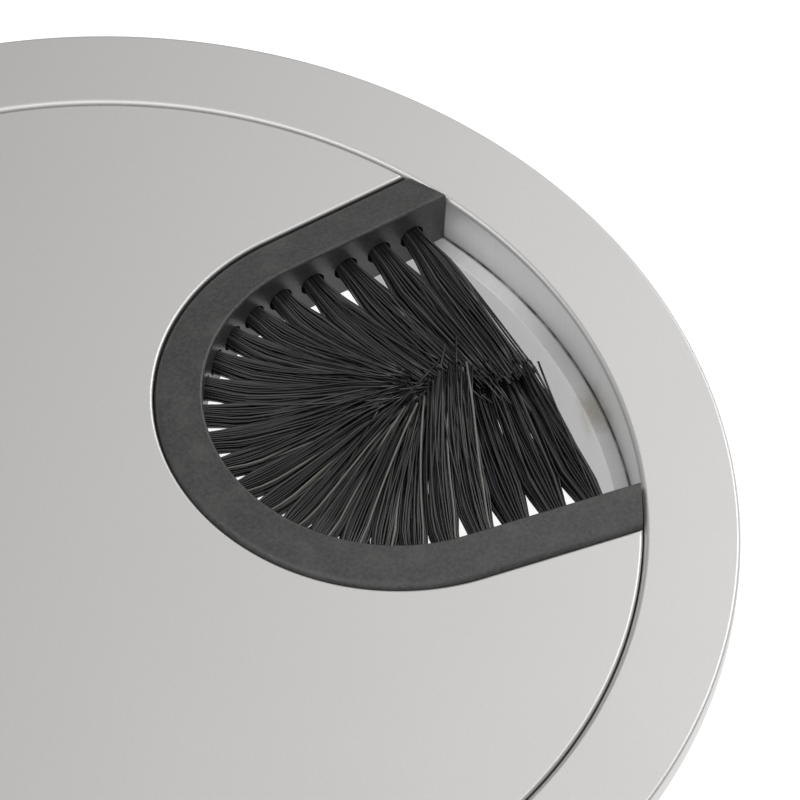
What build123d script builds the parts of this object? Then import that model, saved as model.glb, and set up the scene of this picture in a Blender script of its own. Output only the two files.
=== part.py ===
from build123d import *
from math import cos, pi, radians, sin, sqrt
import os

os.makedirs("parts", exist_ok=True)

# Cable grommet for a round hole in a desk top, in millimetres.
# The origin is on the hole's axis in the plane of the desk top, +Z is up,
# and the cable slot opens towards +X.

# Ring
collar_radius = 39.5  # outside of the collar, for a hole of 80 mm diameter
collar_depth = 13.4  # below the flange
collar_lead_in = 0.6
flange_overhang = 5.5  # how far the flange stands out past the collar
flange_thickness = 1.6
flange_outer_round = 0.3
flange_inner_round = 0.4
recess_wall = 1.35  # between the recess and the outside of the collar
recess_depth = 4.3  # from the flange's top face down to the ledge
ledge_width = 1.25
throat_chamfer = 0.4

# Cover
cover_gap = 0.1  # radial clearance in the recess
cover_plate = 2.0
cover_rim_wall = 1.7
cover_edge_round = 0.25
slot_wall = 1.5  # wall under the plate, round the cut-out
cast_round = 0.4

# Brush frame
slot_setback = 15.35  # from the recess's wall back to the centre of the bend
slot_radius = 13.6
leg_spread = 5.5  # degrees that each leg turns outwards
frame_width = 3.5
frame_crown = 0.6  # how far the top face rises from the cover to the inner edge
frame_foot = 0.8  # how far the frame reaches below the ledge
frame_round = 0.7
frame_inner_round = 0.2
frame_fit = 0.06  # clearance between the frame and the cover's cut-out
lip_width = 0.9
lip_thickness = 1.0
seat_gap = 0.1  # between the frame's seats and the ring's throat
bead_radius = 0.3
bead_clearance = 0.05
bead_arc = 12.0  # degrees round the bend
bead_end_gap = 1.0
bead_step = 50.0
mouth_overrun = 0.5  # how far in front of the wall a tuft's hole is started

# Bristle tufts, numbered round the horseshoe from the end of the -Y leg
tufts_per_side = 12
tuft_end_margin = 0.8  # from the end of a leg to its last tuft's share of the leg
tuft_hole_radius = 1.0
tuft_end_wall = 0.85  # between a hole's bottom and the frame's outer wall
tuft_hole_drop = 2.4  # from the frame's top face to the hole's axis
tuft_fit = 0.03
tuft_gap = 0.12  # between neighbouring tufts
tuft_swell = 1.0  # how much wider a free tuft grows than its hole
tuft_ridges = 8
ridge_depth = 0.14  # share of the tuft's radius
tuft_top_limit = 0.35  # below the frame's top face
tuft_max_height = 3.4

# Where the tufts' tips lie, along X from the centre of the bend
gather_x = 2.7
gather_y = 0.8
gather_radius = 2.2
crossing_rise = 1.4  # from one layer of crossing tufts to the next
crossing_height = 1.15  # of a tuft's tip in such a layer
low_count = 3  # tufts at the end of the -Y leg, in the lowest layer
low_tip_x = 11.4
low_tip_pitch = 1.5
low_tip_y = 0.9
high_count = 2  # the next tufts of the -Y leg, in the highest layer
high_tip_x = 6.4
high_tip_pitch = 1.5
high_tip_y = 0.9
middle_count = 4  # tufts at the end of the +Y leg, in the layer between
middle_tip_x = 9.8
middle_tip_pitch = 2.0
middle_tip_y = -0.3

# Tuft anchors
anchor_thickness = 0.35
anchor_length = 1.3
anchor_bite = 0.2  # how far each end goes into the plastic
anchor_cover = 0.3  # bristle between the anchor and the hole's bottom
anchor_fit = 0.02

# Shares of a tuft's free length at which its section is set
spread_share = 0.25  # where it has spread to its neighbours
section_shares = (0, spread_share, 0.6, 1)

# Levels and radii that follow from the sizes above
flange_radius = collar_radius + flange_overhang
recess_radius = collar_radius - recess_wall
throat_radius = recess_radius - ledge_width
top_z = flange_thickness
ledge_z = top_z - recess_depth
cover_radius = recess_radius - cover_gap
frame_outer_radius = slot_radius + frame_width
cutout_radius = frame_outer_radius + frame_fit
slot_x = recess_radius - slot_setback
frame_height = recess_depth + frame_foot
frame_bottom_z = top_z - frame_height
lip_top_z = frame_bottom_z + lip_thickness
slot_wall_bottom_z = lip_top_z + frame_fit
bead_z = (slot_wall_bottom_z + top_z) / 2
tuft_z = top_z - tuft_hole_drop
bend_radius = slot_radius + frame_width / 2
bend_half_angle = pi / 2 - radians(leg_spread)
leg_reach = flange_radius  # runs an outline's legs out past the ring
leg_offset = bend_radius - slot_x * sin(radians(leg_spread))
leg_length = sqrt(cover_radius**2 - leg_offset**2) - slot_x * cos(radians(leg_spread))
side_length = bend_radius * bend_half_angle + leg_length
tuft_pitch = (side_length - tuft_end_margin) / tufts_per_side
tuft_count = 2 * tufts_per_side
tuft_hole_depth = frame_width - tuft_end_wall
root_radius = tuft_hole_radius - tuft_fit
anchor_height = 2 * (tuft_hole_radius + anchor_bite)


def draw_horseshoe(radius, mode=Mode.ADD):
    # The slot's U outline at a given bend radius, with its legs run out past the ring
    with BuildLine() as outline:
        bend = CenterArc((slot_x, 0), radius, 90 + leg_spread, 180 - 2 * leg_spread)
        upper_leg = PolarLine(bend @ 0, leg_reach, leg_spread)
        lower_leg = PolarLine(bend @ 1, leg_reach, -leg_spread)
        Line(upper_leg @ 1, lower_leg @ 1)
    make_face(outline.edges(), mode=mode)


def add_beads(radius, arc, mode=Mode.ADD):
    # Half-round beads round the bend of the frame's outer wall
    for step in (-1, 0, 1):
        start = radians(180 + step * bead_step - arc / 2)
        radial = Vector(cos(start), sin(start))
        across = Vector(-sin(start), cos(start))
        section = Plane(origin=(slot_x, 0, bead_z), x_dir=radial, z_dir=-across)
        with BuildSketch(section) as bead:
            with Locations((frame_outer_radius, 0)):
                Circle(radius)
        slot_axis = Axis((slot_x, 0, 0), (0, 0, 1))
        revolve(bead.sketch, axis=slot_axis, revolution_arc=arc, mode=mode)


def tuft_root(number):
    # A hole's centre at the frame's inner wall, and the direction in which its tuft leaves
    side = 1 if number >= tufts_per_side else -1
    place = number - tufts_per_side if side > 0 else tufts_per_side - 1 - number
    along = (place + 0.5) * tuft_pitch
    turn = min(along / bend_radius, bend_half_angle)
    outward = Vector(-cos(turn), side * sin(turn))
    leg = Vector(sin(turn), side * cos(turn))
    root = Vector(slot_x, 0, tuft_z) + outward * slot_radius + leg * (along - turn * bend_radius)
    return root, outward * -1


def crossing_tip(number):
    # The tip of an end tuft, which lies across those of the other leg, or None
    if number < low_count:
        return Vector(low_tip_x - low_tip_pitch * number, low_tip_y, -crossing_rise)
    if number < low_count + high_count:
        return Vector(high_tip_x - high_tip_pitch * (number - low_count), high_tip_y, crossing_rise)
    if number >= tuft_count - middle_count:
        return Vector(middle_tip_x - middle_tip_pitch * (tuft_count - 1 - number), middle_tip_y, 0)
    return None


def tuft_tip(number):
    # The tufts that don't cross gather round one point
    crossing = crossing_tip(number)
    if crossing is not None:
        return Vector(slot_x, 0, tuft_z) + crossing
    root, _ = tuft_root(number)
    gather = Vector(slot_x + gather_x, gather_y, tuft_z)
    return gather + (root - gather).normalized() * gather_radius


def tuft_point(number, share):
    # A point at a share of the tuft's free length, on a curve that leaves the hole square
    root, inward = tuft_root(number)
    tip = tuft_tip(number)
    knee = root + inward * ((tip - root).length / 3) + Vector(0, 0, (tip.Z - root.Z) / 2)
    return root * (1 - share) ** 2 + knee * (2 * share * (1 - share)) + tip * share**2


def tuft_way(number, share):
    # The direction in which a tuft runs at a share of its free length
    step = 0.01
    return (tuft_point(number, share + step) - tuft_point(number, share - step)).normalized()


def tuft_width(number, share):
    # As wide as the neighbours leave it, and no wider than the loose bundle
    here = tuft_point(number, share)
    beside = [n for n in (number - 1, number + 1) if 0 <= n < tuft_count]
    across = Vector(0, 0, 1).cross(tuft_way(number, share))
    room = min(abs(across.dot(tuft_point(n, share) - here)) for n in beside) - tuft_gap
    spread = tuft_swell * min(share / spread_share, 1)
    return min(2 * root_radius + spread, room)


def tuft_height(number, share):
    # The bundle keeps its section, so it grows taller as it is squeezed
    if crossing_tip(number) is not None:
        return 2 * root_radius + (crossing_height - 2 * root_radius) * share
    full = (2 * root_radius) ** 2 / tuft_width(number, share)
    return min(full, tuft_max_height, 2 * (tuft_hole_drop - tuft_top_limit))


def tuft_section(centre, way, width, height):
    # One cross-section of a tuft: an oval with ridges, square to its way
    plane = Plane(origin=centre, x_dir=Vector(0, 0, 1).cross(way), z_dir=way)
    corners = []
    for step in range(2 * tuft_ridges):
        angle = pi * step / tuft_ridges
        reach = 0.5 if step % 2 == 0 else 0.5 * (1 - ridge_depth)
        corners.append((width * reach * cos(angle), height * reach * sin(angle)))
    with BuildSketch(plane) as section:
        with BuildLine():
            Polyline(*corners, close=True)
        make_face()
    return section.sketch.face()


def anchor_plane(number):
    # At the middle of a tuft's anchor, with x across the bundle, y up and z out of the hole
    root, inward = tuft_root(number)
    middle = root - inward * (tuft_hole_depth - anchor_cover - anchor_length / 2)
    return Plane(origin=middle, x_dir=Vector(0, 0, 1).cross(inward), z_dir=inward)


with BuildPart() as ring:
    with BuildSketch(Plane.XZ):
        with BuildLine():
            Polyline(
                (recess_radius, top_z),
                (flange_radius, top_z),
                (flange_radius, 0),
                (collar_radius, 0),
                (collar_radius, -collar_depth),
                (throat_radius, -collar_depth),
                (throat_radius, ledge_z),
                (recess_radius, ledge_z),
                close=True,
            )
        make_face()
    revolve(axis=Axis.Z)
    rims = ring.edges().filter_by(GeomType.CIRCLE)
    top_rims = rims.group_by(Axis.Z)[-1].sort_by(SortBy.RADIUS)
    fillet(top_rims[-1], flange_outer_round)
    fillet(ring.edges().group_by(Axis.Z)[-1].sort_by(SortBy.RADIUS)[0], flange_inner_round)
    bottom_rims = ring.edges().group_by(Axis.Z)[0].sort_by(SortBy.RADIUS)
    chamfer(bottom_rims[-1], collar_lead_in)
    chamfer(ring.edges().group_by(Axis.Z)[0].sort_by(SortBy.RADIUS)[0], throat_chamfer)

with BuildPart() as cover:
    with BuildSketch(Plane.XY.offset(top_z)):
        Circle(cover_radius)
    extrude(amount=-recess_depth)
    with BuildSketch(Plane.XY.offset(ledge_z)):
        Circle(cover_radius - cover_rim_wall)
        draw_horseshoe(cutout_radius + slot_wall, mode=Mode.SUBTRACT)
    extrude(amount=recess_depth - cover_plate, mode=Mode.SUBTRACT)
    with BuildSketch(Plane.XY.offset(ledge_z)):
        Circle(cover_radius - cover_rim_wall)
    extrude(amount=slot_wall_bottom_z - ledge_z, mode=Mode.SUBTRACT)
    with BuildSketch(Plane.XY.offset(top_z)):
        draw_horseshoe(cutout_radius)
    extrude(amount=-recess_depth, mode=Mode.SUBTRACT)
    add_beads(bead_radius + bead_clearance, bead_arc + bead_end_gap, Mode.SUBTRACT)
    plate_underside = cover.faces().filter_by(Axis.Z).group_by(Axis.Z)[-2]
    fillet(plate_underside.edges(), cast_round)
    fillet(cover.faces().sort_by(Axis.Z)[-1].edges(), cover_edge_round)

with BuildPart() as brush_frame:
    with BuildSketch(Plane.XY.offset(frame_bottom_z)):
        draw_horseshoe(frame_outer_radius)
    extrude(amount=frame_height)
    with BuildSketch(Plane.XY.offset(top_z)):
        draw_horseshoe(frame_outer_radius)
    with BuildSketch(Plane.XY.offset(top_z + frame_crown)):
        draw_horseshoe(slot_radius)
    loft(ruled=True)
    rim = brush_frame.edges().filter_by_position(Axis.Z, top_z - frame_fit, top_z + frame_fit)
    fillet(rim.sort_by(Axis.X)[:-1], frame_round)
    with BuildSketch(Plane.XY.offset(frame_bottom_z)):
        draw_horseshoe(slot_radius)
    extrude(amount=frame_height + frame_crown, mode=Mode.SUBTRACT)
    fillet(brush_frame.edges().group_by(Axis.Z)[-1], frame_inner_round)
    with BuildSketch(Plane.XY.offset(frame_bottom_z)):
        Circle(cover_radius)
    extrude(amount=frame_height + frame_crown, mode=Mode.INTERSECT)
    with BuildSketch(Plane.XY.offset(frame_bottom_z)):
        draw_horseshoe(frame_outer_radius + lip_width)
        draw_horseshoe(slot_radius + frame_width / 2, mode=Mode.SUBTRACT)
        Circle(cover_radius - cover_rim_wall - frame_fit, mode=Mode.INTERSECT)
    extrude(amount=lip_thickness)
    with BuildSketch(Plane.XY.offset(frame_bottom_z)):
        Circle(flange_radius)
        Circle(throat_radius - seat_gap, mode=Mode.SUBTRACT)
    extrude(amount=ledge_z - frame_bottom_z, mode=Mode.SUBTRACT)
    add_beads(bead_radius, bead_arc)
    for number in range(tuft_count):
        root, inward = tuft_root(number)
        mouth = Plane(origin=root + inward * mouth_overrun, x_dir=(0, 0, 1), z_dir=inward)
        with Locations(mouth):
            Hole(tuft_hole_radius, depth=tuft_hole_depth + mouth_overrun)

    with Locations(*[anchor_plane(number) for number in range(tuft_count)]):
        Box(
            anchor_thickness + 2 * anchor_fit,
            anchor_height + 2 * anchor_fit,
            anchor_length + 2 * anchor_fit,
            mode=Mode.SUBTRACT,
        )

with BuildPart() as tuft_anchors:
    with Locations(*[anchor_plane(number) for number in range(tuft_count)]):
        Box(anchor_thickness, anchor_height, anchor_length)

ring.part.label = "ring"
cover.part.label = "cover"
brush_frame.part.label = "brush_frame"
tuft_anchors.part.label = "tuft_anchors"
for piece in (ring, cover, brush_frame, tuft_anchors):
    export_step(piece.part, f"parts/{piece.part.label}.step")

for number in range(tuft_count):
    root, inward = tuft_root(number)
    with BuildPart() as tuft:
        bottom = root - inward * (tuft_hole_depth - tuft_fit)
        sections = [tuft_section(bottom, inward, 2 * root_radius, 2 * root_radius)]
        for share in section_shares:
            width, height = tuft_width(number, share), tuft_height(number, share)
            centre, way = tuft_point(number, share), tuft_way(number, share)
            sections.append(tuft_section(centre, way, width, height))
        loft(sections, ruled=True)
        with Locations(anchor_plane(number)):
            Box(
                anchor_thickness + 2 * anchor_fit,
                2 * tuft_hole_radius,
                anchor_length + 2 * anchor_fit,
                mode=Mode.SUBTRACT,
            )
    tuft.part.label = f"bristle_tuft_{number + 1:02d}"
    export_step(tuft.part, f"parts/{tuft.part.label}.step")
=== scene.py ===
# A cable grommet with a brush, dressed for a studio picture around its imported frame
import random
from math import atan2, cos, hypot, pi, radians, sin, sqrt

import bpy
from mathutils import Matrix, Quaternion, Vector


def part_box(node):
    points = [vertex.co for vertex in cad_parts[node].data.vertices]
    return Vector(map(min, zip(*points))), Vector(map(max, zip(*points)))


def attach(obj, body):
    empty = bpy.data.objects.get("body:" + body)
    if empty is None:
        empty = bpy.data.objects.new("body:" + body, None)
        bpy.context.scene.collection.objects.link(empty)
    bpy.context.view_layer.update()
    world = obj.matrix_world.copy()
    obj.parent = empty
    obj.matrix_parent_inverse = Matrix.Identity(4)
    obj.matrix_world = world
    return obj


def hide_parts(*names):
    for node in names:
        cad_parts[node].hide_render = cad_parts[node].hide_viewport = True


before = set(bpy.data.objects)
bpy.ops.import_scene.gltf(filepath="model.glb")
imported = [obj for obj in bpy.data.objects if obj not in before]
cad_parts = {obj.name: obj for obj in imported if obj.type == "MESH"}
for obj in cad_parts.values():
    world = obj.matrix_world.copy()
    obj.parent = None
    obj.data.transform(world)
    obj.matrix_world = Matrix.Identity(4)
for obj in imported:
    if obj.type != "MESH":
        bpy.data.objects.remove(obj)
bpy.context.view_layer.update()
print("frame loaded")

# Levels and radii that the pieces and their finishes share, from the frame
ringLow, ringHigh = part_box("ring")
coverLow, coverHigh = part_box("cover")
topZ = ringHigh[2]
ledgeZ = coverLow[2]
coverRadius = coverHigh[1]
coverGap = 0.0001  # between the cover and the wall of the ring's recess
recessRadius = coverRadius + coverGap
up = Vector((0, 0, 1))

# Slot: a bend with two legs, which the cover's cut-out and the brush follow
slot = {
    "bendX": 0.0228,
    "bendRadius": 0.0136,
    "legSpread": radians(5.5),
    "frameWidth": 0.0035,
    "frameFit": 0.00006,
}


class Signal:
    # what comes out of a node, with the maths that the finishes use
    def __init__(self, finish, socket):
        self.finish = finish
        self.socket = socket

    def combine(self, operation, first, second):
        return self.finish.node("ShaderNodeMath", {"operation": operation}, {0: first, 1: second})

    def __add__(self, other):
        return self.combine("ADD", self, other)

    def __radd__(self, other):
        return self.combine("ADD", other, self)

    def __sub__(self, other):
        return self.combine("SUBTRACT", self, other)

    def __rsub__(self, other):
        return self.combine("SUBTRACT", other, self)

    def __mul__(self, other):
        return self.combine("MULTIPLY", self, other)

    def __rmul__(self, other):
        return self.combine("MULTIPLY", other, self)


class Finish:
    # one material, built from a Principled shader
    def __init__(self, name, **constants):
        self.material = bpy.data.materials.new(name)
        self.material.use_nodes = True
        self.tree = self.material.node_tree
        self.shader = self.tree.nodes["Principled BSDF"]
        for socket, value in constants.items():
            self.shader.inputs[socket.replace("_", " ")].default_value = value

    def node(self, kind, settings=None, inputs=None, output=0):
        made = self.tree.nodes.new(kind)
        for name, value in (settings or {}).items():
            setattr(made, name, value)
        for socket, value in (inputs or {}).items():
            if isinstance(value, Signal):
                self.tree.links.new(value.socket, made.inputs[socket])
            else:
                made.inputs[socket].default_value = value
        return Signal(self, made.outputs[output])

    def feed(self, socket, signal):
        self.tree.links.new(signal.socket, self.shader.inputs[socket])

    def place(self):
        return self.node("ShaderNodeTexCoord", output="Object")

    def noise(self, vector, scale, detail=2.0, roughness=0.5):
        inputs = {"Vector": vector, "Scale": scale, "Detail": detail, "Roughness": roughness}
        return self.node("ShaderNodeTexNoise", None, inputs)

    def remap(self, value, low, high, toLow=0.0, toHigh=1.0, smooth=False):
        kind = "SMOOTHSTEP" if smooth else "LINEAR"
        inputs = {"Value": value, 1: low, 2: high, 3: toLow, 4: toHigh}
        return self.node("ShaderNodeMapRange", {"interpolation_type": kind}, inputs)

    def spread(self, noise, toLow=0.0, toHigh=1.0):
        # the range in which most of a noise lies, drawn out to another
        return self.remap(noise, 0.3, 0.7, toLow, toHigh)

    def blend(self, share, first, second):
        # a colour between two, each a colour or another signal
        return self.node("ShaderNodeMix", {"data_type": "RGBA"}, {0: share, 6: first, 7: second}, 2)

    def bump(self, height, strength, distance):
        inputs = {"Height": height, "Strength": strength, "Distance": distance}
        self.feed("Normal", self.node("ShaderNodeBump", None, inputs))

    def parts(self, vector):
        # the x, y and z of a place, each as a signal
        first = self.node("ShaderNodeSeparateXYZ", None, {0: vector})
        return [Signal(self, output) for output in first.socket.node.outputs]

    def vector(self, x, y, z):
        return self.node("ShaderNodeCombineXYZ", None, {0: x, 1: y, 2: z})


def grey(value, warmth=0.0):
    # a tone as a colour, a little warmer where asked
    return (value * (1 + warmth), value, value * (1 - warmth), 1.0)


def wear(node, finish):
    # gives a frame piece its finish, in every slot that it has
    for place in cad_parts[node].material_slots:
        place.material = finish.material


def newPiece(name, points, faces, finish, replaced):
    # a mesh that stands for a node of the frame
    mesh = bpy.data.meshes.new(name)
    mesh.from_pydata(points, [], faces)
    mesh.shade_smooth()
    mesh.materials.append(finish.material)
    piece = bpy.data.objects.new(name, mesh)
    bpy.context.scene.collection.objects.link(piece)
    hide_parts(replaced)
    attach(piece, "root")
    return piece


def keepFlats(piece):
    # flat faces shade flat right up to their rounded edges, and a sharp corner stays sharp
    sharpFrom = radians(35)
    piece.data.set_sharp_from_angle(angle=sharpFrom)
    weights = piece.modifiers.new("flats", "WEIGHTED_NORMAL")
    weights.mode = "FACE_AREA"
    weights.weight = 100
    weights.keep_sharp = True


def quarter(centreX, centreY, radius, start, steps=8):
    # a rounded edge in a section, turning clockwise from a start angle
    turns = [start - pi / 2 * step / steps for step in range(steps + 1)]
    return [(centreX + radius * cos(turn), centreY + radius * sin(turn)) for turn in turns]


# Die-cast metal with a satin coat of fine grain, which the two castings share
metal = {
    "ringTone": 0.60,
    "coverTone": 0.60,
    "warmth": 0.013,
    "roughness": 0.42,
    "roughnessSpread": 0.02,
    # shades are shares by which a tone gets darker or lighter
    "grainShade": 0.025,
    "grainScale": 9000.0,
    "grainBump": 0.06,
    "grainHeight": 0.00001,
    "cloudScale": 60.0,
    "cloudShade": 0.04,
    "cloudShare": 0.25,
    # the wall and the ledge of the recess
    "insideTone": 0.58,
    "insideShade": 0.04,
    "insideRoughness": 0.42,
    "insideMetallic": 0.5,
    "insideFade": 0.0002,
    "streakAround": 500.0,
    "streakAlong": 300.0,
    "patchScale": 500.0,
    # a brown stain on the ledge
    "stainTone": (0.36, 0.33, 0.28, 1.0),
    "stainPlace": (0.0372, -0.0046, -0.0027),
    "stainReach": 0.0032,
    "stainShare": 0.75,
    # a painted highlight on the ledge, as angles round the ring and heights from the ledge
    "ledgeHighlightFrom": radians(1),
    "ledgeHighlightTo": radians(15),
    "ledgeHighlightTone": 0.95,
    "ledgeHighlightEdge": 0.00003,
    "ledgeHighlightAbove": 0.0002,
    "ledgeHighlightBelow": 0.0001,
    # dirt and painted shade in the corner between ledge and wall
    "dirtAndShadeCore": 0.00004,
    "dirtAndShadeReach": 0.00026,
    "dirtAndShadeTone": (0.10, 0.095, 0.085, 1.0),
}


def satinMetal(name, tone):
    look = metal
    finish = Finish(name, Metallic=1.0)
    place = finish.place()
    grain = finish.noise(place, look["grainScale"], 3.0)
    cloud = finish.noise(place, look["cloudScale"], 3.0)
    warmth, shade, rougher = look["warmth"], look["grainShade"], look["roughnessSpread"]
    darker, lighter, clouded = [grey(tone * share, warmth)
                                for share in (1 - shade, 1 + shade, 1 - look["cloudShade"])]
    base = finish.blend(finish.spread(grain), darker, lighter)
    base = finish.blend(finish.spread(cloud, 0.0, look["cloudShare"]), base, clouded)
    rough = finish.spread(cloud, look["roughness"] - rougher, look["roughness"] + rougher)
    return finish, place, grain, base, rough


def ringMetal():
    # outside of the cover the casting is coated; inside its recess it is turned, streaked and stained, with
    # dirt and painted shade in the corner and a painted highlight on the ledge
    look = metal
    finish, place, grain, base, rough = satinMetal("ring_metal_satin", look["ringTone"])
    x, y, z = finish.parts(place)
    reach = finish.node("ShaderNodeVectorMath", {"operation": "LENGTH"}, {0: finish.vector(x, y, 0.0)}, 1)
    inside = finish.remap(reach, recessRadius, recessRadius + look["insideFade"], 1.0, 0.0)
    angle = finish.node("ShaderNodeMath", {"operation": "ARCTAN2"}, {0: y, 1: x})
    around, along = look["streakAround"], look["streakAlong"]
    streaks = finish.noise(finish.vector(angle * around, reach * along, z * along), 1.0, 3.0, 0.6)
    tone, shade = look["insideTone"], look["insideShade"]
    polished = finish.blend(finish.spread(streaks), grey(tone * (1 - shade)), grey(tone * (1 + shade)))
    away = finish.node("ShaderNodeVectorMath", {"operation": "DISTANCE"},
                       {0: place, 1: look["stainPlace"]}, 1)
    patchy = finish.noise(place, look["patchScale"], 4.0, 0.6)
    stain = finish.remap(away, 0.0, look["stainReach"], 1.0, 0.0, smooth=True)
    stain = stain * finish.remap(patchy, 0.42, 0.62)
    polished = finish.blend(stain * look["stainShare"], polished, look["stainTone"])
    # dirt and painted shade darken the corner between the ledge and the wall
    corner = finish.node("ShaderNodeVectorMath", {"operation": "DISTANCE"},
                         {0: finish.vector(reach, z, 0.0), 1: (recessRadius, ledgeZ, 0.0)}, 1)
    dirtAndShade = finish.remap(corner, look["dirtAndShadeCore"], look["dirtAndShadeReach"], 1.0, 0.0, smooth=True)
    dirtAndShade = dirtAndShade * finish.remap(patchy, 0.35, 0.6, 0.55, 1.0)
    polished = finish.blend(dirtAndShade, polished, look["dirtAndShadeTone"])
    # a painted highlight on part of the ledge, kept out of the corner's dirt and painted shade
    ledgeHighlight = finish.remap(angle, look["ledgeHighlightFrom"], look["ledgeHighlightTo"], 0.0, 1.0, smooth=True)
    ledgeHighlight = ledgeHighlight * finish.remap(z, ledgeZ + look["ledgeHighlightEdge"], ledgeZ + look["ledgeHighlightAbove"], 1.0, 0.0)
    ledgeHighlight = ledgeHighlight * finish.remap(z, ledgeZ - look["ledgeHighlightBelow"], ledgeZ - look["ledgeHighlightEdge"])
    ledgeHighlight = ledgeHighlight * (1.0 - dirtAndShade) * finish.spread(streaks, 0.75, 1.0)
    polished = finish.blend(ledgeHighlight, polished, grey(look["ledgeHighlightTone"]))
    finish.feed("Base Color", finish.blend(inside, base, polished))
    rougher = look["roughnessSpread"]
    smoother = finish.spread(streaks, look["insideRoughness"] - rougher, look["insideRoughness"] + rougher)
    finish.feed("Roughness", rough + inside * (smoother - rough))
    finish.feed("Metallic", inside * (look["insideMetallic"] - 1.0) + 1.0)
    finish.bump(grain, look["grainBump"], look["grainHeight"])
    return finish


def coverMetal():
    finish, _, grain, base, rough = satinMetal("cover_metal_satin", metal["coverTone"])
    finish.feed("Base Color", base)
    finish.feed("Roughness", rough)
    finish.bump(grain, metal["grainBump"], metal["grainHeight"])
    return finish


# Ring: flange and collar in one casting, turned from its section
casting = {
    "sides": 512,
    "deskZ": 0.0,
    "innerRound": 0.0004,
    "outerRound": 0.0003,
    "collarRadius": 0.0395,
    "leadIn": 0.0006,
    "ledgeWidth": 0.00125,
    "throatChamfer": 0.0004,
}


def ring(finish):
    look = casting
    flange, bottom = ringHigh[0], ringLow[2]
    throat = recessRadius - look["ledgeWidth"]
    inner, outer = look["innerRound"], look["outerRound"]
    section = quarter(recessRadius + inner, topZ - inner, inner, pi)
    section += quarter(flange - outer, topZ - outer, outer, pi / 2)
    section += [
        (flange, look["deskZ"]),
        (look["collarRadius"], look["deskZ"]),
        (look["collarRadius"], bottom + look["leadIn"]),
        (look["collarRadius"] - look["leadIn"], bottom),
        (throat + look["throatChamfer"], bottom),
        (throat, bottom + look["throatChamfer"]),
        (throat, ledgeZ),
        (recessRadius, ledgeZ),
    ]
    sides, count = look["sides"], len(section)
    points, faces = [], []
    for side in range(sides):
        turn = 2 * pi * side / sides
        points += [(radius * cos(turn), radius * sin(turn), z) for radius, z in section]
        here, after = side * count, (side + 1) % sides * count
        for corner in range(count):
            beyond = (corner + 1) % count
            faces.append((here + corner, here + beyond, after + beyond, after + corner))
    piece = newPiece("ring_casting", points, faces, finish, "ring")
    keepFlats(piece)


# Cover: a plate with a rim, and a wall round its cut-out
plate = {
    "rimSteps": 420,
    "bendSteps": 160,
    "legSteps": 12,
    "thickness": 0.0020,
    "edgeRound": 0.00025,
    "castRound": 0.0004,
    "rimWall": 0.0017,
    "slotWall": 0.0015,
    "slotWallRise": 0.00026,
}


def coverOutline(rimInset, cutInset):
    # the plate's outline, drawn in, with a mark for each point: whether it is on the cut-out
    look = plate
    bendX, lean = slot["bendX"], slot["legSpread"]
    rim, cut = coverRadius - rimInset, slot["bendRadius"] + slot["frameWidth"] + slot["frameFit"] + cutInset
    run = sqrt(rim ** 2 - (cut - bendX * sin(lean)) ** 2) - bendX * cos(lean)
    bendEnd = (bendX - cut * sin(lean), cut * cos(lean))
    mouth = (bendEnd[0] + run * cos(lean), bendEnd[1] + run * sin(lean))
    first = atan2(mouth[1], mouth[0])
    outline = []
    for step in range(look["rimSteps"] + 1):
        turn = first + (2 * pi - 2 * first) * step / look["rimSteps"]
        outline.append((rim * cos(turn), rim * sin(turn), False))
    for step in range(1, look["legSteps"]):
        share = step / look["legSteps"]
        outline.append((mouth[0] + (bendEnd[0] - mouth[0]) * share,
                        -mouth[1] - (bendEnd[1] - mouth[1]) * share, True))
    for step in range(look["bendSteps"] + 1):
        turn = 3 * pi / 2 - lean - (pi - 2 * lean) * step / look["bendSteps"]
        outline.append((bendX + cut * cos(turn), cut * sin(turn), True))
    for step in range(1, look["legSteps"]):
        share = 1 - step / look["legSteps"]
        outline.append((mouth[0] + (bendEnd[0] - mouth[0]) * share,
                        mouth[1] + (bendEnd[1] - mouth[1]) * share, True))
    return outline


def cover(finish):
    look = plate
    edge, cast, underZ = look["edgeRound"], look["castRound"], topZ - look["thickness"]
    layers = []
    for inset, z in quarter(edge, topZ - edge, edge, pi)[::-1]:
        layers.append([(x, y, z) for x, y, _ in coverOutline(inset, inset)])
    foot = {True: ledgeZ + look["slotWallRise"], False: ledgeZ}
    layers.append([(x, y, foot[cut]) for x, y, cut in coverOutline(0, 0)])
    inside = coverOutline(look["rimWall"], look["slotWall"])
    layers.append([(x, y, foot[cut]) for x, y, cut in inside])
    for drop, inset in quarter(cast, cast, cast, -pi / 2, 4)[::-1]:
        outline = coverOutline(look["rimWall"] + cast - inset, look["slotWall"] + cast - inset)
        layers.append([(x, y, underZ - cast + drop) for x, y, _ in outline])
    points = [point for layer in layers for point in layer]
    count = len(layers[0])
    faces = [tuple(range(count))]
    for layer in range(len(layers) - 1):
        low, high = layer * count, (layer + 1) * count
        for corner in range(count):
            beyond = (corner + 1) % count
            faces.append((low + corner, high + corner, high + beyond, low + beyond))
    faces.append(tuple(range(len(points) - 1, len(points) - count - 1, -1)))
    piece = newPiece("cover_casting", points, faces, finish, "cover")
    keepFlats(piece)


# Moulded plastic of the brush frame
plastic = {
    "tone": 0.040,
    "warmth": 0.02,
    "grainShades": (0.72, 1.35),
    "scuffScale": 420.0,
    "scuffShade": 1.9,
    "scuffWarmth": 0.03,
    "scuffShare": 0.5,
    "roughness": (0.33, 0.45),
    "grainScale": 3800.0,
    "grainBump": 0.35,
    "grainHeight": 0.00003,
}


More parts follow.
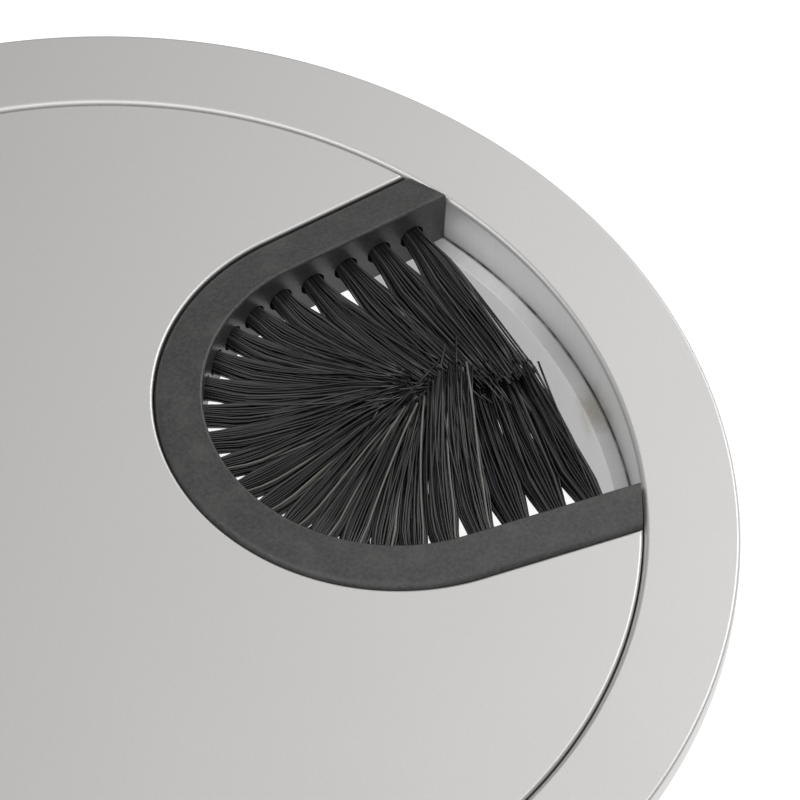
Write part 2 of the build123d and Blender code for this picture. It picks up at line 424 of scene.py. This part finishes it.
def framePlastic():
    look = plastic
    finish = Finish("frame_plastic_moulded", Specular_IOR_Level=0.5)
    place = finish.place()
    grain = finish.noise(place, look["grainScale"], 2.0)
    scuffs = finish.noise(place, look["scuffScale"], 4.0, 0.65)
    darker, lighter = [grey(look["tone"] * shade, look["warmth"]) for shade in look["grainShades"]]
    base = finish.blend(finish.spread(grain), darker, lighter)
    scuffed = grey(look["tone"] * look["scuffShade"], look["scuffWarmth"])
    base = finish.blend(finish.remap(scuffs, 0.50, 0.70, 0.0, look["scuffShare"]), base, scuffed)
    finish.feed("Base Color", base)
    finish.feed("Roughness", finish.spread(scuffs, *look["roughness"]))
    finish.bump(grain, look["grainBump"], look["grainHeight"])
    return finish


# Drawn steel wire of the tuft anchors
wire = {
    "tones": (0.40, 0.575),
    "roughness": (0.27, 0.40),
    "drawScale": 3000.0,
    "drawLength": 60.0,
}


def anchorWire():
    finish = Finish("anchor_wire_drawn", Metallic=1.0)
    x, y, z = finish.parts(finish.place())
    scale = wire["drawScale"]
    drawn = finish.noise(finish.vector(x * scale, y * scale, z * wire["drawLength"]), 1.0)
    darker, lighter = [grey(tone) for tone in wire["tones"]]
    finish.feed("Base Color", finish.blend(drawn, darker, lighter))
    finish.feed("Roughness", finish.spread(drawn, *wire["roughness"]))
    return finish


# Black nylon filament; a few are greyer than the rest, and on the tufts where glints fall more pale ones
# stand in as painted glints
nylon = {
    "darkTone": 0.008,
    "lightTone": 0.055,
    "paleColour": (0.15, 0.147, 0.128, 1.0),
    "paleShare": 0.015,
    # share of pale filaments on the tufts where glints fall, in part painted glints
    "paleAndGlintShare": 0.12,
    "roughness": (0.18, 0.34),
}


def bristleNylon(name, paleShare):
    look = nylon
    finish = Finish(name, Specular_IOR_Level=0.5)
    lot = finish.node("ShaderNodeNewGeometry", output="Random Per Island")
    grade = finish.remap(lot, 0.0, 1 - paleShare)
    base = finish.blend(grade * grade * grade, grey(look["darkTone"]), grey(look["lightTone"]))
    pale = finish.remap(lot, 1 - paleShare, 1 - paleShare + 0.001)
    finish.feed("Base Color", finish.blend(pale, base, look["paleColour"]))
    finish.feed("Roughness", finish.remap(lot, 0.0, 1.0, *look["roughness"]))
    return finish


# Bristles: 24 tufts of nylon filament, which take the place of the frame's plain tufts
brush = {
    "perSide": 12,
    "pitch": 0.0029036,
    "holeRadius": 0.001,
    "holeDrop": 0.0024,
    "holeDepth": 0.00265,
    "anchorDepth": 0.0013,
    "anchorHalf": 0.0002,
    "filamentRadius": 0.000085,
    "filamentGap": 0.000190,
    "filamentSides": 5,
    "bundleClear": 1.3,  # filament radii between the outermost filament's axis and the hole's wall
    "stations": 11,
    "gather": (0.0257, 0.0007),
    "gatherRadius": 0.0009,
    # the lower filaments of a bundle run on under the gathering point
    "underReach": 0.32,
    "underMost": 0.95,
    "underBelow": 0.35,
    # the tufts where glints fall, which get more pale filaments as painted glints
    "paleAndGlintTufts": (3, 12),
    "lineSteps": 24,
    "lineReach": 1.33,  # how far a middle line runs, as a share of the way to the tuft's tip
    # layers of crossing tufts: first tuft, last tuft, first tip, step to the next tip, rise
    "layers": [
        (0, 2, (0.0335, 0.0010), (-0.0016, 0.0002), -0.0009),
        (3, 4, (0.0288, 0.0013), (-0.0014, 0.0), 0.0011),
        (20, 23, (0.0272, 0.0009), (0.0018, -0.00075), 0.0002),
    ],
    # how a tuft spreads outside its hole: shares of the hole and of the room, lengths and limits
    "layerHeight": 0.0019,
    "maxHeight": 0.0034,
    "topLimit": 0.00035,
    "swell": 0.00052,
    "squeeze": 0.93,
    "overlap": 1.12,
    "swellLength": 0.0055,
    "swellCurve": 1.6,
    "mostSwell": 0.0013,
    "endSwell": 0.0004,
    "leastReach": 0.00025,
    # how uneven the filaments are: their lengths, as shares, and how far they drift from their place
    "shortest": 0.91,
    "longest": 1.0,
    "longShare": 0.03,
    "longReach": 1.12,
    "wander": 0.00030,
    "wanderCurve": 1.5,
    "curlShare": 0.5,
    "strayShare": 0.035,
    "strayWander": 0.0007,
    "seed": 41,
}
tuftZ = topZ - brush["holeDrop"]
tuftCount = 2 * brush["perSide"]
bundleRadius = brush["holeRadius"] - brush["bundleClear"] * brush["filamentRadius"]


def tuftRoot(number):
    # a hole's centre at the frame's inner wall, and the way in which its tuft leaves
    side = 1 if number >= brush["perSide"] else -1
    step = number - brush["perSide"] if side > 0 else brush["perSide"] - 1 - number
    along = (step + 0.5) * brush["pitch"]
    middle = slot["bendRadius"] + slot["frameWidth"] / 2
    turn = min(along / middle, pi / 2 - slot["legSpread"])
    outward = Vector((-cos(turn), side * sin(turn), 0))
    leg = Vector((sin(turn), side * cos(turn), 0))
    root = Vector((slot["bendX"], 0, tuftZ)) + outward * slot["bendRadius"]
    return root + leg * (along - turn * middle), -outward


def crossingTip(number):
    # the tip of an end tuft, which lies across those of the other leg, or None
    for first, last, place, step, rise in brush["layers"]:
        if first <= number <= last:
            on = number - first
            return Vector((place[0] + step[0] * on, place[1] + step[1] * on, tuftZ + rise))
    return None


def tuftTip(number):
    # the tufts that don't cross gather round one point
    crossing = crossingTip(number)
    if crossing is not None:
        return crossing
    root, _ = tuftRoot(number)
    gather = Vector((*brush["gather"], tuftZ))
    return gather + (root - gather).normalized() * brush["gatherRadius"]


def tuftPoint(number, share):
    # a curve that leaves the hole straight and bends to the tip
    root, inward = tuftRoot(number)
    tip = tuftTip(number)
    knee = root + inward * ((tip - root).length / 3) + up * ((tip - root).z / 2)
    return root * (1 - share) ** 2 + knee * (2 * share * (1 - share)) + tip * share ** 2


def tuftWay(number, share):
    step = 0.01
    return (tuftPoint(number, share + step) - tuftPoint(number, share - step)).normalized()


def tuftLine(number):
    # a tuft's middle line: places at even steps, each with its share, its way and the way across
    line = []
    for step in range(brush["lineSteps"] + 1):
        share = brush["lineReach"] * step / brush["lineSteps"]
        way = tuftWay(number, share)
        line.append((share, tuftPoint(number, share), way, up.cross(way).normalized()))
    return line


def roomBeside(spot, other):
    # the distance across to a neighbour's line where it passes beside a spot, or None beyond its tip
    _, here, way, across = spot
    before, aheadBefore = other[0][1], way.dot(other[0][1] - here)
    if aheadBefore > 0:
        return abs(across.dot(before - here))
    for _, place, _, _ in other[1:]:
        ahead = way.dot(place - here)
        if ahead > 0:
            beside = before.lerp(place, aheadBefore / (aheadBefore - ahead))
            return abs(across.dot(beside - here))
        before, aheadBefore = place, ahead
    return None


def tuftReach(number, spot, lines):
    # how far a tuft spreads to its left and right at a spot: until it meets its neighbours
    share, here, _, across = spot
    half = (brush["holeRadius"] - brush["filamentRadius"]) * brush["squeeze"]
    out = share * (lines[number][-1][1] - lines[number][0][1]).length / brush["lineReach"]
    swell = brush["swell"] * (out / brush["swellLength"]) ** brush["swellCurve"]
    reach = {-1: half + min(swell, brush["endSwell"]), 1: half + min(swell, brush["endSwell"])}
    for beside in (number - 1, number + 1):
        if 0 <= beside < tuftCount:
            side = 1 if across.dot(lines[beside][0][1] - lines[number][0][1]) > 0 else -1
            room = roomBeside(spot, lines[beside])
            reach[side] = half + min(swell, brush["mostSwell"])
            if room is not None:
                reach[side] = min(reach[side], room / 2 * brush["overlap"])
    return max(reach[-1], brush["leastReach"]), max(reach[1], brush["leastReach"])


def tuftCourse(number, lines):
    # the middle line with the room that the tuft takes to either side and in height
    course = []
    full = 2 * (brush["holeRadius"] - brush["filamentRadius"])
    limit = min(brush["maxHeight"], 2 * (brush["holeDrop"] - brush["topLimit"]))
    for spot in lines[number]:
        left, right = tuftReach(number, spot, lines)
        share, here, way, across = spot
        if crossingTip(number) is None:
            height = min(full ** 2 / (left + right), limit)
        else:
            height = full + (brush["layerHeight"] - full) * share
        course.append((here, across, way.cross(across), left, right, height))
    return course


def courseAt(course, share):
    # a course's row at any share of its length, between its steps
    step = share / brush["lineReach"] * brush["lineSteps"]
    low = min(int(step), brush["lineSteps"] - 1)
    part = step - low
    return [first + (second - first) * part for first, second in zip(course[low], course[low + 1])]


def bundlePlaces():
    # where the filaments stand in a round bundle, as shares of its radius
    gap = brush["filamentGap"]
    rowGap = gap * sqrt(3) / 2
    rows = int(bundleRadius / rowGap)
    places = []
    for row in range(-rows, rows + 1):
        shift = gap / 2 if row % 2 else 0
        for column in range(-rows - 2, rows + 3):
            x, y = column * gap + shift, row * rowGap
            if hypot(x, y) < bundleRadius:
                places.append((x / bundleRadius, y / bundleRadius))
    return places


def tubes(lines, radius, sides):
    # points and faces of round filaments, each a list of places with the two directions square to it
    points, faces = [], []
    for line in lines:
        start = len(points)
        for centre, across, rise in line:
            for side in range(sides):
                angle = 2 * pi * side / sides
                points.append(centre + (across * cos(angle) + rise * sin(angle)) * radius)
        for station in range(len(line) - 1):
            low = start + station * sides
            for side in range(sides):
                after = (side + 1) % sides
                faces.append((low + side, low + after, low + sides + after, low + sides + side))
        last = start + (len(line) - 1) * sides
        faces.append(tuple(range(start + sides - 1, start - 1, -1)))
        faces.append(tuple(range(last, last + sides)))
    return points, faces


def scatter(chance, reach):
    # a random way across and up
    return Vector((chance.gauss(0, 1), chance.gauss(0, 1))) * reach


def filament(number, course, place, chance):
    # the line of one filament, from in front of its anchor to its own ragged end
    look = brush
    root, inward = tuftRoot(number)
    thick = look["filamentRadius"]
    across = up.cross(inward).normalized()
    a, b = place
    behindAnchor = abs(a) * bundleRadius < look["anchorHalf"] + thick
    deep = (look["anchorDepth"] if behindAnchor else look["holeDepth"]) - thick
    line = [(root - inward * deep + (across * a + up * b) * bundleRadius, across, up)]
    reach = chance.uniform(look["shortest"], look["longest"])
    if crossingTip(number) is None:
        reach += look["underReach"] * min((1 - b) / 2, look["underMost"]) if b < look["underBelow"] else 0
    elif chance.random() < look["longShare"]:
        reach = look["longReach"]
    stray = chance.random() < look["strayShare"]
    drift = scatter(chance, look["strayWander"] if stray else look["wander"])
    curl = scatter(chance, look["wander"] * look["curlShare"])
    for station in range(look["stations"]):
        share = reach * station / (look["stations"] - 1)
        here, across, rise, left, right, height = courseAt(course, share)
        loose = drift * share ** look["wanderCurve"] + curl * sin(2 * pi * share) * share
        offset = across * (a * ((right if a > 0 else left) - thick) + loose.x)
        offset += rise * (b * (height / 2 - thick) + loose.y)
        line.append((here + offset, across, rise))
    return line


def bristles(black, paleAndGlint):
    places = bundlePlaces()
    lines = [tuftLine(number) for number in range(tuftCount)]
    for number in range(tuftCount):
        chance = random.Random(brush["seed"] + number)
        course = tuftCourse(number, lines)
        strands = [filament(number, course, place, chance) for place in places]
        points, faces = tubes(strands, brush["filamentRadius"], brush["filamentSides"])
        name = f"{number + 1:02d}"
        # tufts where glints fall get the finish with more pale filaments, in part painted glints
        finish = paleAndGlint if brush["paleAndGlintTufts"][0] <= number <= brush["paleAndGlintTufts"][1] else black
        newPiece("filaments_" + name, points, faces, finish, "bristle_tuft_" + name)
    print("bristles:", tuftCount, "tufts of", len(places), "filaments")


# Studio: a bright pale table, a soft sky and soft boxes
studio = {
    "tableSize": 4.0,
    "tableDrop": 0.00002,
    "tableTone": 0.32,
    "tableRoughness": 0.8,
    "tableGlow": 0.88,
    "sky": 0.42,
    "boxes": [
        # direction, distance, side, brightness
        ((0.62, 0.25, 0.74), 0.42, 0.42, 0.74),
        ((-0.20, -0.35, 0.92), 0.60, 0.60, 1.2),
        ((0.77, 0.20, 0.60), 0.50, 0.20, 3.0),
        ((-0.57, 0.27, 0.78), 0.60, 0.25, 1.8),
        ((-0.66, -0.16, 0.74), 0.60, 0.14, 3.0),
    ],
}


def table():
    half = studio["tableSize"] / 2
    floorZ = ringLow[2] - studio["tableDrop"]
    mesh = bpy.data.meshes.new("table")
    corners = [(-half, -half, floorZ), (half, -half, floorZ), (half, half, floorZ), (-half, half, floorZ)]
    mesh.from_pydata(corners, [], [(0, 1, 2, 3)])
    piece = bpy.data.objects.new("table", mesh)
    bpy.context.scene.collection.objects.link(piece)
    finish = Finish("table_white", Base_Color=grey(studio["tableTone"]), Roughness=studio["tableRoughness"],
                    Emission_Color=grey(1.0), Emission_Strength=studio["tableGlow"])
    mesh.materials.append(finish.material)


def lights():
    world = bpy.data.worlds.new("sky")
    world.use_nodes = True
    back = world.node_tree.nodes["Background"]
    back.inputs["Color"].default_value = grey(1.0)
    back.inputs["Strength"].default_value = studio["sky"]
    bpy.context.scene.world = world
    for direction, distance, side, brightness in studio["boxes"]:
        lamp = bpy.data.lights.new("softbox", "AREA")
        lamp.size = side
        lamp.energy = brightness * pi * side ** 2  # the same brightness at any size
        holder = bpy.data.objects.new("softbox", lamp)
        away = Vector(direction).normalized()
        holder.location = away * distance
        holder.rotation_euler = (-away).to_track_quat("-Z", "Y").to_euler()
        bpy.context.scene.collection.objects.link(holder)


# Camera: a long lens, which looks down on the near right of the grommet
camera = {
    "aim": (0.023274, -0.000391, topZ),
    "azimuth": radians(-30.281),
    "elevation": radians(51.394),
    "distance": 0.45,
    "roll": radians(3.39),
    "lens": 281.546,
    "sensor": 36.0,
    "nearest": 0.01,
}


def takeView():
    look = camera
    level = cos(look["elevation"])
    back = Vector((sin(look["azimuth"]) * level, -cos(look["azimuth"]) * level, sin(look["elevation"])))
    data = bpy.data.cameras.new("camera")
    data.lens = look["lens"]
    data.sensor_width = look["sensor"]
    data.clip_start = look["nearest"]
    holder = bpy.data.objects.new("camera", data)
    holder.location = Vector(look["aim"]) + back * look["distance"]
    turn = (-back).to_track_quat("-Z", "Y") @ Quaternion((0, 0, 1), look["roll"])
    holder.rotation_mode = "QUATERNION"
    holder.rotation_quaternion = turn
    bpy.context.scene.collection.objects.link(holder)
    bpy.context.scene.camera = holder


bpy.context.scene.view_settings.view_transform = "Standard"
takeView()
table()
lights()
print("studio set")
ring(ringMetal())
cover(coverMetal())
wear("brush_frame", framePlastic())
wear("tuft_anchors", anchorWire())
print("castings and mouldings finished")
black = bristleNylon("bristle_nylon", nylon["paleShare"])
# nylon with more pale filaments, in part painted glints
paleAndGlint = bristleNylon("bristle_nylon_pale_and_glints", nylon["paleAndGlintShare"])
bristles(black, paleAndGlint)
